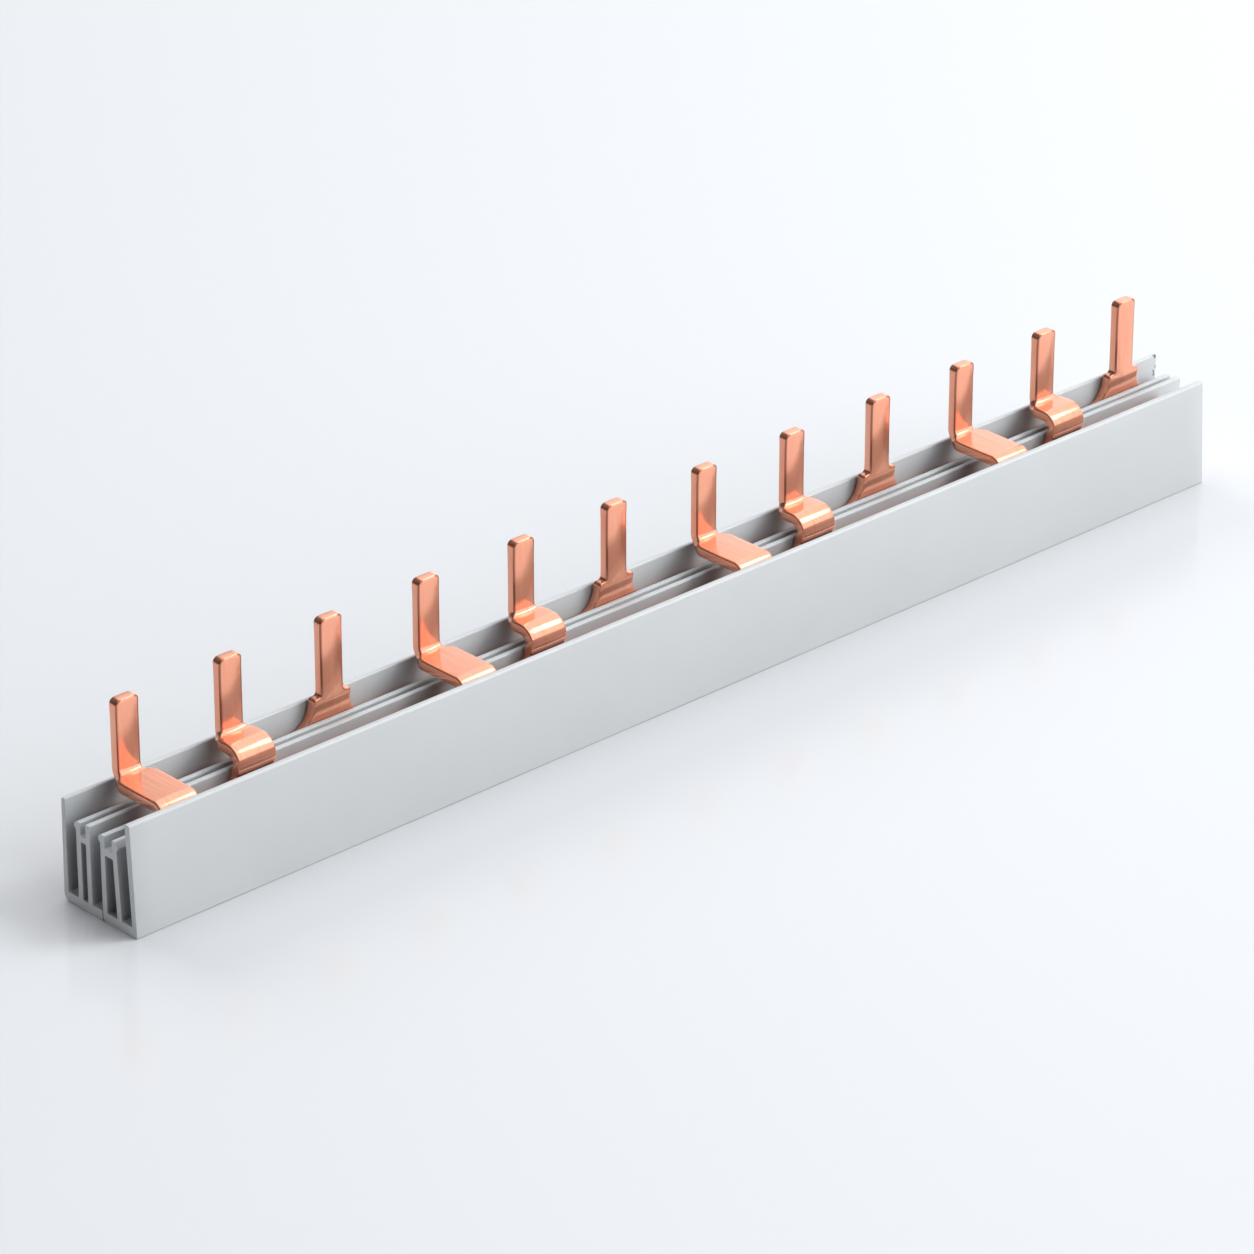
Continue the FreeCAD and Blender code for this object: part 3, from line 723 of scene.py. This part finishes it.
class BUSBAR_OT_stage(bpy.types.Operator):
    """Set the floor, the soft lights and the camera"""
    bl_idname = "busbar.stage"
    bl_label = "Stage"

    FLOOR_REACH = 3.0

    # camera fitted to the photograph: degrees, metres, and millimetres for lens and sensor
    YAW = -43.2957
    PITCH = 26.1733
    ROLL = 0.0337
    DISTANCE = 849.59 * MM
    ASIDE = -8.283 * MM
    ABOVE = -4.365 * MM
    AIM = (0, 0, 12 * MM)
    LENS = 170.3
    SENSOR = 36
    FARTHEST = 50

    # the room that lights things and is mirrored in them: its strength rises evenly from dim to
    # pale with a direction's share along the pale side
    PALE_SIDE = (0.85, -0.3, 0.3)
    DIM_UP_TO, DIM = 0.18, 0.03
    PALE_FROM, PALE = 0.52, 1.42
    # the room as it is seen directly, evenly pale behind every side of the bar
    BACKDROP = 0.95

    # name, place and width in metres, power in watts, and whether glossy surfaces mirror it
    BOXES = (
        ("key_box", (0.72, -0.42, 0.86), 0.5, 7.2, False),
        ("top_box", (0.1, 0.2, 1.3), 1.0, 7.7, False),
        ("back_box", (0.1, 1.1, 0.8), 0.8, 11.0, False),
        ("front_box", (-0.1, -1.2, 0.5), 0.8, 4.5, False),
        ("corner_box", (0.8, -0.9, 0.4), 0.8, 12.8, False),
        ("end_box", (-1.2, 0.35, 0.2), 0.5, 1.5, False),
        ("sheen_box", (0.68, -0.4, 0.81), 0.35, 1.5, True),
    )

    def execute(self, context):
        looks = context.scene.busbar_looks
        self.add_floor(context, looks)
        self.add_room(context, looks)
        self.add_boxes(context)
        self.add_camera(context)
        context.scene.view_settings.view_transform = "Standard"
        return {"FINISHED"}

    def add_floor(self, context, looks):
        """Flat square board under the bar."""
        corners = [(x * self.FLOOR_REACH, y * self.FLOOR_REACH, 0)
                   for x, y in ((-1, -1), (1, -1), (1, 1), (-1, 1))]
        mesh = bpy.data.meshes.new("floor")
        mesh.from_pydata(corners, [], [(0, 1, 2, 3)])
        mesh.materials.append(coated_board(looks))
        board = bpy.data.objects.new("floor", mesh)
        context.scene.collection.objects.link(board)

    def add_room(self, context, looks):
        """Room that lights things and is mirrored in them as pale on the right and dim on the
        left, while it is seen directly as evenly pale."""
        world = bpy.data.worlds.new("pale_studio")
        context.scene.world = world
        world.use_nodes = True
        tree = world.node_tree
        direction = add_node(tree, "ShaderNodeTexCoord").outputs["Generated"]
        share = add_node(tree, "ShaderNodeVectorMath", [(0, direction)], [(1, self.PALE_SIDE)],
                         operation="DOT_PRODUCT")
        mirrored = add_node(tree, "ShaderNodeMapRange", [("Value", share.outputs["Value"])],
                            From_Min=self.DIM_UP_TO, From_Max=self.PALE_FROM,
                            To_Min=self.DIM, To_Max=self.PALE)
        seen = add_node(tree, "ShaderNodeLightPath")
        strength = add_node(tree, "ShaderNodeMix", [("Factor", seen.outputs["Is Camera Ray"]),
                                                    ("A", mirrored.outputs["Result"])],
                            B=self.BACKDROP)
        wire(tree, tree.nodes["Background"], [("Strength", strength.outputs["Result"])],
             [("Color", (*looks.sky, 1))])

    def add_boxes(self, context):
        """Soft boxes aimed at the bar. Most aren't mirrored, because their hard outlines would
        show in the copper."""
        for name, place, width, power, mirrored in self.BOXES:
            light = bpy.data.lights.new(name, "AREA")
            light.shape = "SQUARE"
            light.size = width
            light.energy = power
            box = bpy.data.objects.new(name, light)
            box.location = place
            box.visible_glossy = mirrored
            box.rotation_euler = (-Vector(place)).to_track_quat("-Z", "Y").to_euler()
            context.scene.collection.objects.link(box)

    def add_camera(self, context):
        """Camera that looks at the aim from its yaw and pitch, turned by its roll and moved in
        its own plane, aside and above."""
        yaw, pitch, roll = (math.radians(angle) for angle in (self.YAW, self.PITCH, self.ROLL))
        back = Vector((math.sin(yaw) * math.cos(pitch), -math.cos(yaw) * math.cos(pitch),
                       math.sin(pitch)))
        right = Vector((math.cos(yaw), math.sin(yaw), 0))
        up = back.cross(right)
        right, up = (right * math.cos(roll) + up * math.sin(roll),
                     up * math.cos(roll) - right * math.sin(roll))
        lens = bpy.data.cameras.new("camera")
        lens.lens = self.LENS
        lens.sensor_width = self.SENSOR
        lens.clip_end = self.FARTHEST
        camera = bpy.data.objects.new("camera", lens)
        turn = Matrix((right, up, back)).transposed().to_4x4()
        place = Vector(self.AIM) + back * self.DISTANCE + right * self.ASIDE + up * self.ABOVE
        camera.matrix_world = Matrix.Translation(place) @ turn
        context.scene.collection.objects.link(camera)
        context.scene.camera = camera


class BUSBAR_PT_panel(bpy.types.Panel):
    """Lists the sizes, the colours and the steps"""
    bl_idname = "BUSBAR_PT_panel"
    bl_label = "Comb busbar"
    bl_space_type = "VIEW_3D"
    bl_region_type = "UI"
    bl_category = "Busbar"

    def draw(self, context):
        for group in GROUPS:
            box = self.layout.box()
            values = getattr(context.scene, group)
            for name in values.__annotations__:
                box.prop(values, name)
        for operator in OPERATORS:
            self.layout.operator(operator.bl_idname)


GROUPS = {
    "busbar_insulation": InsulationSizes,
    "busbar_copper": CopperSizes,
    "busbar_looks": BusbarLooks,
}
OPERATORS = (BUSBAR_OT_insulation, BUSBAR_OT_combs, BUSBAR_OT_stage)
CLASSES = (*GROUPS.values(), *OPERATORS, BUSBAR_PT_panel)


def register():
    for cls in CLASSES:
        bpy.utils.register_class(cls)
    for name, group in GROUPS.items():
        setattr(bpy.types.Scene, name, bpy.props.PointerProperty(type=group))


def unregister():
    for name in GROUPS:
        delattr(bpy.types.Scene, name)
    for cls in reversed(CLASSES):
        bpy.utils.unregister_class(cls)


def main():
    register()
    bpy.ops.busbar.insulation()
    bpy.ops.busbar.combs()
    bpy.ops.busbar.stage()


if __name__ == "__main__":
    main()
